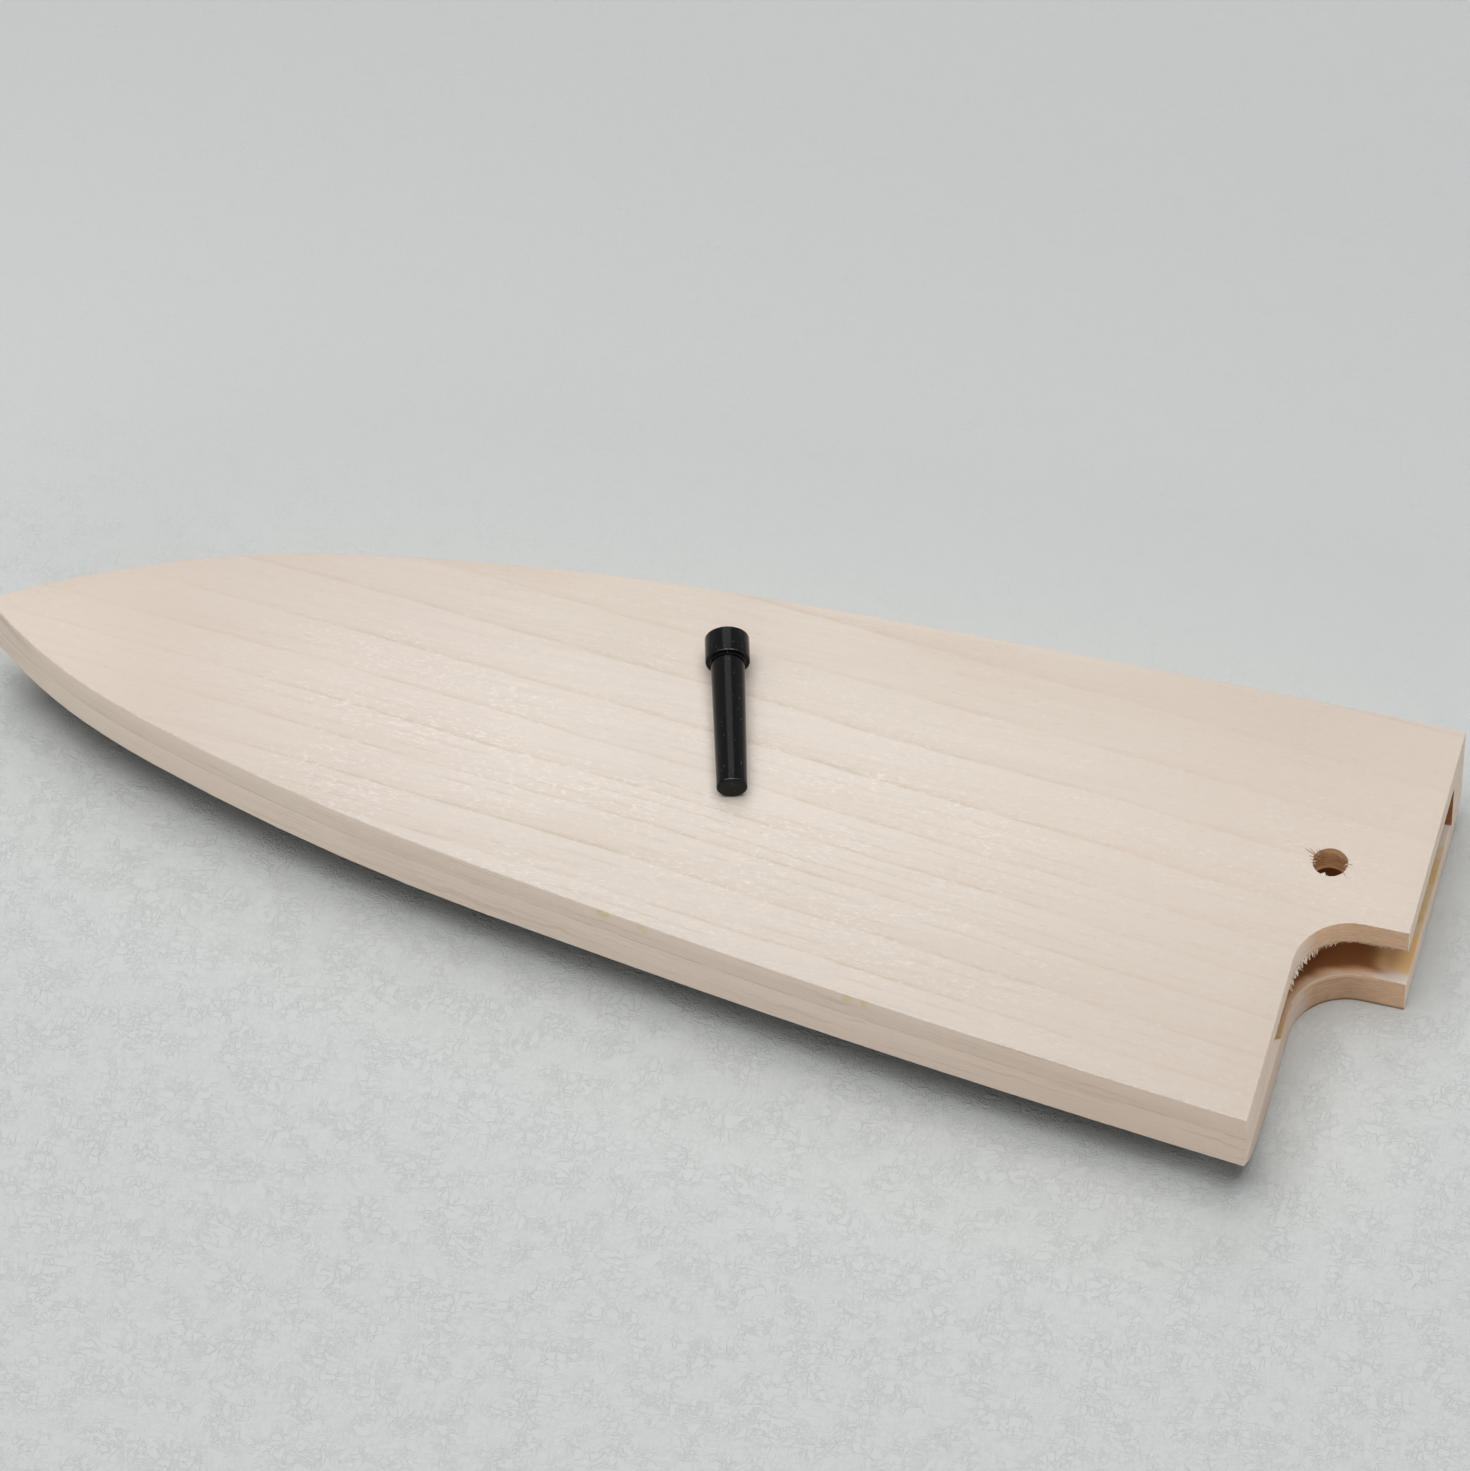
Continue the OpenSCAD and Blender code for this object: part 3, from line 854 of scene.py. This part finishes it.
class GUARD_OT_torn_fibres(bpy.types.Operator):
    """Torn fibres under the step's lower edge and splinters around the drilled hole"""

    bl_idname = "guard.torn_fibres"
    bl_label = "Torn Fibres"

    def execute(self, context):
        fibres = context.scene.guard_fibres
        rng = random.Random(SEED + 1)
        bm = bmesh.new()

        def root_at(point, z):
            """A place in metres, from a point in millimetres and a height."""
            return Vector((point.x, point.y, z)) * MM

        for n in range(fibres.count):
            along = FIBRES_FROM + FIBRES_RUN * (n + rng.random()) / fibres.count
            point, out = step_point(along)
            aside = beside(out)
            # Longest where the curve crosses the grain, short along the straight part
            torn = 0.5 if along < FIBRES_HALF_TO else 0.3
            if FIBRES_LONG_FROM < along < FIBRES_LONG_TO:
                torn = 1.0
            long = fibres.longest * torn * rng.uniform(0.3, 1.0)
            wide = fibres.thickness * rng.uniform(0.6, 1.25) * (0.6 + 0.4 * torn)
            way = out * rng.uniform(-0.1, 0.5) + aside * rng.uniform(-0.45, 0.45) - UP
            bend = (out * rng.uniform(-0.1, 0.35) + aside * rng.uniform(-0.25, 0.25)) * long
            sunk = point - out * rng.uniform(0.02, 0.12)
            root = root_at(sunk, SPLIT_Z + rng.uniform(0.05, 0.25))
            splinter(bm, root, way.normalized(), long, wide, bend)
        # Saw teeth of torn wood where the curve crosses the grain; the ones in the light get a
        # paler wood, which is painted light
        lit = []
        along = TEETH_FROM
        while along < TEETH_TO:
            point, out = step_point(along)
            size = rng.uniform(0.72, 1.2) * (1.15 if along < TEETH_BIG_TO else 0.55) * MM
            before = len(bm.faces)
            root = root_at(point - out * 0.1, SPLIT_Z + 0.12)
            way = out * rng.uniform(0.2, 0.6) - beside(out) * rng.uniform(0.1, 0.5) - UP
            bend = out * TOOTH_BEND * MM
            splinter(bm, root, way.normalized(), TOOTH_LONG * size, TOOTH_WIDE * size, bend)
            if TEETH_LIT_FROM < along < TEETH_LIT_TO:
                lit.extend(range(before, len(bm.faces)))
            along += rng.uniform(0.36, 0.56)
        # One pale curl, made of two strands, that sticks out of the curve
        for along, long in CURLS:
            point, out = step_point(along)
            aside = beside(out)
            root = root_at(point - out * 0.05, SPLIT_Z + 0.1)
            way = (out * 0.5 - aside * 0.5 - UP * 0.9).normalized()
            bend = (out * 0.7 + aside * 0.5 + UP * 0.2) * long * 0.6 * MM
            splinter(bm, root, way, long * MM, CURL_WIDE * MM, bend)
        # Splinters that the drill left standing on the flat face, browner than the rest
        brown_from = len(bm.faces)
        for turn, long, wide in SPLINTERS:
            out = around(math.radians(turn))
            root = root_at(HOLE + out * (HOLE_R - 0.12), TOP_Z - 0.02)
            aside = beside(out) * rng.uniform(-0.3, 0.3)
            way = (out + aside + UP * 0.12).normalized()
            bend = (aside * 0.5 + UP * 0.06) * long * MM
            splinter(bm, root, way, long * MM, wide * MM, bend)
        # Pale chips that stand into the hole from its near rim
        brown_to = len(bm.faces)
        for turn, long, wide in CHIPS:
            out = around(math.radians(turn))
            root = root_at(HOLE + out * (HOLE_R + 0.04), TOP_Z - 0.2)
            way = (-out - UP * 0.08).normalized()
            splinter(bm, root, way, long * MM, wide * MM, Vector())
        # Fine fibres on the hole's wall, most of them where it looks along the grain
        chips_to = len(bm.faces)
        for _ in range(fibres.rim_count):
            inward = -around(rng.choice((0, math.pi)) + rng.gauss(0, 0.5))
            root = root_at(HOLE - inward * (HOLE_R + 0.03), TOP_Z - rng.uniform(0.05, 1.4))
            strewn = (rng.uniform(-0.9, 0.9), rng.uniform(-0.9, 0.9), rng.uniform(-0.5, 0.7))
            way = (inward + Vector(strewn)).normalized()
            long = fibres.longest * rng.uniform(0.25, 0.6)
            wide = fibres.thickness * rng.uniform(0.4, 0.8)
            splinter(bm, root, way, long, wide, inward * long * 0.2)
        bm.faces.ensure_lookup_table()
        for n in range(brown_from, brown_to):
            bm.faces[n].material_index = 1
        for n in (*range(brown_to, chips_to), *lit):
            bm.faces[n].material_index = 2
        for face in bm.faces:
            face.smooth = True
        bmesh.ops.recalc_face_normals(bm, faces=bm.faces[:])
        finished("torn_fibres", bm, SMALL_WOODS)
        return {"FINISHED"}


class GUARD_OT_carved_board(bpy.types.Operator):
    """Carved half: the board with the blade pocket and the rounded underside"""

    bl_idname = "guard.carved_board"
    bl_label = "Carved Board"

    def execute(self, context):
        board = context.scene.guard_board
        bm = board_shape("carved_half")
        mark_edges(bm, board)
        mark_faces(bm)
        inside = bm.faces.layers.float["inside"]
        for face in bm.faces:
            c = face.calc_center_median() / MM
            between = POCKET_LOW_Z < c.z < SPLIT_Z - 0.01 and c.x < HEEL_X - 0.01
            wall = face.normal.y < -0.5 and c.y > 1 and c.x > -92 and not on_step(c * MM, 0.4)
            sunk = face.normal.z > 0.05 or wall
            face[inside] = 1.0 if between and sunk else 0.0
        piece = finished("carved_board", bm, ["wood_carved"])
        with_bevel(piece, board)
        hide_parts("carved_half")
        return {"FINISHED"}


# Where the peg lies, in millimetres and degrees, and what its turning left, in millimetres
PEG_Y, PEG_LIFT, PEG_TURN = 24.7, 0.09, 16
HOLLOW_WIDE, HOLLOW_LONG = 0.12, 0.14
# Nicks in the shank: turn in degrees, place, length and depth in millimetres
NICKS = ((121, 21.3, 0.85, 0.2), (116, 20.2, 0.3, 0.1), (62, 18.6, 0.25, 0.08))
NICK_WIDE, NICK_REACH, CORE_R = 0.26, 1.6, 1.8


class GUARD_OT_peg(bpy.types.Operator):
    """Turned black peg with rounded rims, lying where the CAD model puts it"""

    bl_idname = "guard.peg"
    bl_label = "Peg"

    def execute(self, context):
        peg = context.scene.guard_peg
        rh, rs, rt = peg.head_diameter / 2, peg.shank_diameter / 2, peg.tail_diameter / 2
        head, edge_r = peg.head_length, peg.rim
        total = head + peg.shank_length
        bm = bmesh.new()

        def rim(centre_r, centre_z, first, steps=5):
            """Points of a quarter turn around a rim, from an angle in degrees."""
            turns = [math.radians(first + 90 * k / steps) for k in range(steps + 1)]
            return [
                (centre_r + edge_r * math.cos(turn), centre_z + edge_r * math.sin(turn))
                for turn in turns
            ]

        profile = [(0.0, 0.0), (rh * 0.5, 0.0)]
        profile += rim(rh - edge_r, edge_r, -90)
        profile += rim(rh - edge_r, head - edge_r, 0)
        profile += [(rs + HOLLOW_WIDE * MM, head), (rs, head + HOLLOW_LONG * MM)]
        steps = 12
        for k in range(1, steps):
            share = k / steps
            profile.append((rs + (rt - rs) * share, head + peg.shank_length * share))
        profile += rim(rt - edge_r, total - edge_r, 0)
        profile += [(rt * 0.5, total), (0.0, total)]
        line = [bm.verts.new((r, 0.0, z)) for r, z in profile]
        for a, b in zip(line, line[1:]):
            bm.edges.new((a, b))
        bmesh.ops.spin(
            bm,
            geom=bm.verts[:] + bm.edges[:],
            cent=(0, 0, 0),
            axis=(0, 0, 1),
            angle=math.tau,
            steps=96,
            use_merge=True,
        )
        bmesh.ops.remove_doubles(bm, verts=bm.verts[:], dist=MERGED)
        bmesh.ops.recalc_face_normals(bm, faces=bm.faces[:])
        # Rim faces, which carry the painted highlight
        worn = bm.faces.layers.float.new("worn")
        for face in bm.faces:
            face.smooth = True
            c = face.calc_center_median()
            on_shoulder = head - edge_r < c.z < head and c.xy.length > rs + 0.3 * MM
            on_tail = c.z > total - edge_r and c.xy.length > rt - edge_r
            face[worn] = 1.0 if on_shoulder or on_tail else 0.0
        crease = math.radians(35)
        for edge in bm.edges:
            if len(edge.link_faces) == 2 and edge.calc_face_angle(0.0) > crease:
                edge.smooth = False
        for turn, at, long, deep in NICKS:
            spot = around(math.radians(turn)) * rs
            spot.z = at * MM
            close = [
                f
                for f in bm.faces
                if (f.calc_center_median() - spot).length < NICK_REACH * MM and not f[worn]
            ]
            bmesh.ops.subdivide_edges(bm, edges=edges_of(close), cuts=5, use_grid_fill=True)
            for v in bm.verts:
                off = v.co - spot
                reach = math.hypot(off.z / (long * MM), off.xy.length / (NICK_WIDE * MM))
                if reach < 1.0 and v.co.xy.length > CORE_R * MM:
                    sink = deep * MM * (1 - reach * reach)
                    v.co.xy -= spot.normalized().xy * sink
        lean = math.asin((rh - rt) / peg.shank_length)
        rise = rh * math.cos(lean) + head * math.sin(lean)
        place = (
            Matrix.Translation((0, PEG_Y * MM, (TOP_Z + PEG_LIFT) * MM))
            @ Matrix.Rotation(math.radians(PEG_TURN), 4, "Z")
            @ Matrix.Translation((0, 0, rise))
            @ Matrix.Rotation(math.pi / 2 + lean, 4, "X")
        )
        bmesh.ops.transform(bm, matrix=place, verts=bm.verts[:])
        piece = finished("turned_peg", bm, ["turned_black"], "loose_peg")
        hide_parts("peg")
        return {"FINISHED"}


class GUARD_OT_finishes(bpy.types.Operator):
    """Wood, peg and paper materials"""

    bl_idname = "guard.finishes"
    bl_label = "Finishes"

    def execute(self, context):
        grain = grain_group()
        for name in ("wood_flat", "wood_carved"):
            wood_material(name, grain, context.scene.guard_board)
        for name, (scale, turning, light, deep) in SMALL_WOODS.items():
            tree = material(name)
            patch = millimetres(tree)[0].noise(scale, detail=1.0).window(*turning)
            surface(tree, patch.between(light, deep), 0.7)
        peg_material(context.scene.guard_peg)
        paper_material(context.scene.guard_stage)
        return {"FINISHED"}


# Lamps: name, setting of their power, width, depth and place in metres
LAMPS = (
    ("softbox", "overhead", 1.2, 0.88, (0, 0, 1.3)),
    ("strip_ahead", "ahead", 1.2, 0.3, (0, -0.55, 1.18)),
    ("strip_behind", "behind", 0.8, 0.7, (-0.26, 0.78, 1.04)),
    ("low_front", "low_front", 1.2, 0.3, (0, -1.24, 0.4)),
    ("low_heel", "low_heel", 0.3, 0.5, (1.27, 0, 0.27)),
    ("tip_side", "tip_side", 0.5, 0.5, (-0.78, 0, 1.1)),
)
# Camera: the point it looks at in metres, its direction in degrees, and its lens in mm. The
# focal length is 12000 pixels of a picture that is 1470 pixels wide.
CAMERA_AIM = Vector((0.0048, 0.01065, 0.018))
CAMERA_AZIMUTH, CAMERA_HEIGHT = 14.4, 52.0
SENSOR_WIDTH = 36
FOCAL_LENGTH = SENSOR_WIDTH * 12000 / 1470


class GUARD_OT_stage(bpy.types.Operator):
    """Sheet of paper, a softbox overhead with its strips, low lights and the camera"""

    bl_idname = "guard.stage"
    bl_label = "Stage"

    def execute(self, context):
        scene = context.scene
        stage = scene.guard_stage
        bm = bmesh.new()
        bmesh.ops.create_grid(bm, x_segments=1, y_segments=1, size=stage.floor_width / 2)
        floor = meshed("paper_sheet", bm, ["paper"])
        for name, setting, width, depth, at in LAMPS:
            data = bpy.data.lights.new(name, "AREA")
            data.shape = "RECTANGLE"
            data.size, data.size_y = width, depth
            data.energy = getattr(stage, setting)
            lamp = placed(name, data)
            lamp.location = at
            lamp.rotation_euler = Vector(at).to_track_quat("Z", "Y").to_euler()
            lamp.visible_camera = False
        world = bpy.data.worlds.new("surroundings")
        scene.world = world
        world.use_nodes = True
        tree = world.node_tree
        tree.nodes.clear()
        path = tree.nodes.new("ShaderNodeLightPath").outputs
        camera_ray, glass_ray, glossy_ray = (
            Value(path[f"Is {kind} Ray"]) for kind in ("Camera", "Transmission", "Glossy")
        )
        lit = add(tree, "ShaderNodeBackground", {"Color": (1, 1, 1), "Strength": stage.world})
        seen = add(tree, "ShaderNodeBackground", {"Color": SEEN_BEHIND, "Strength": 1.0})
        shown = camera_ray.either(glass_ray).either(glossy_ray)
        mix = shown.made(
            "ShaderNodeMixShader", {0: shown, 1: Value(lit.outputs[0]), 2: Value(seen.outputs[0])}
        )
        add(tree, "ShaderNodeOutputWorld", {"Surface": mix})
        lens = bpy.data.cameras.new("camera")
        lens.sensor_fit = "HORIZONTAL"
        lens.sensor_width = SENSOR_WIDTH
        lens.lens = FOCAL_LENGTH
        lens.clip_start, lens.clip_end = 0.05, 20
        camera = placed("camera", lens)
        height = math.radians(CAMERA_HEIGHT)
        level = around(math.radians(CAMERA_AZIMUTH - 90)) * math.cos(height)
        back = level + UP * math.sin(height)
        camera.location = CAMERA_AIM + back * stage.camera_distance
        camera.rotation_euler = back.to_track_quat("Z", "Y").to_euler()
        scene.camera = camera
        scene.view_settings.view_transform = "Standard"
        return {"FINISHED"}


class GUARD_PT_panel(bpy.types.Panel):
    """Buttons for each piece of the blade guard"""

    bl_label = "Blade Guard"
    bl_idname = "GUARD_PT_panel"
    bl_space_type = "VIEW_3D"
    bl_region_type = "UI"
    bl_category = "Blade Guard"

    def draw(self, context):
        layout = self.layout
        for step in STEPS:
            layout.operator(step)
        for name in SETTINGS:
            box = layout.box()
            settings = getattr(context.scene, name)
            for key in settings.__annotations__:
                box.prop(settings, key)


STEPS = (
    "guard.finishes",
    "guard.flat_board",
    "guard.torn_fibres",
    "guard.carved_board",
    "guard.peg",
    "guard.stage",
)
SETTINGS = {
    "guard_board": BoardSettings,
    "guard_fibres": FibreSettings,
    "guard_peg": PegSettings,
    "guard_stage": StageSettings,
}
CLASSES = (
    *SETTINGS.values(),
    GUARD_OT_finishes,
    GUARD_OT_flat_board,
    GUARD_OT_torn_fibres,
    GUARD_OT_carved_board,
    GUARD_OT_peg,
    GUARD_OT_stage,
    GUARD_PT_panel,
)


def register():
    for one in CLASSES:
        bpy.utils.register_class(one)
    for name, kind in SETTINGS.items():
        setattr(bpy.types.Scene, name, PointerProperty(type=kind))


def unregister():
    for name in SETTINGS:
        delattr(bpy.types.Scene, name)
    for one in reversed(CLASSES):
        bpy.utils.unregister_class(one)


def main():
    register()
    for step in STEPS:
        area, name = step.split(".")
        getattr(getattr(bpy.ops, area), name)()


if __name__ == "__main__":
    main()
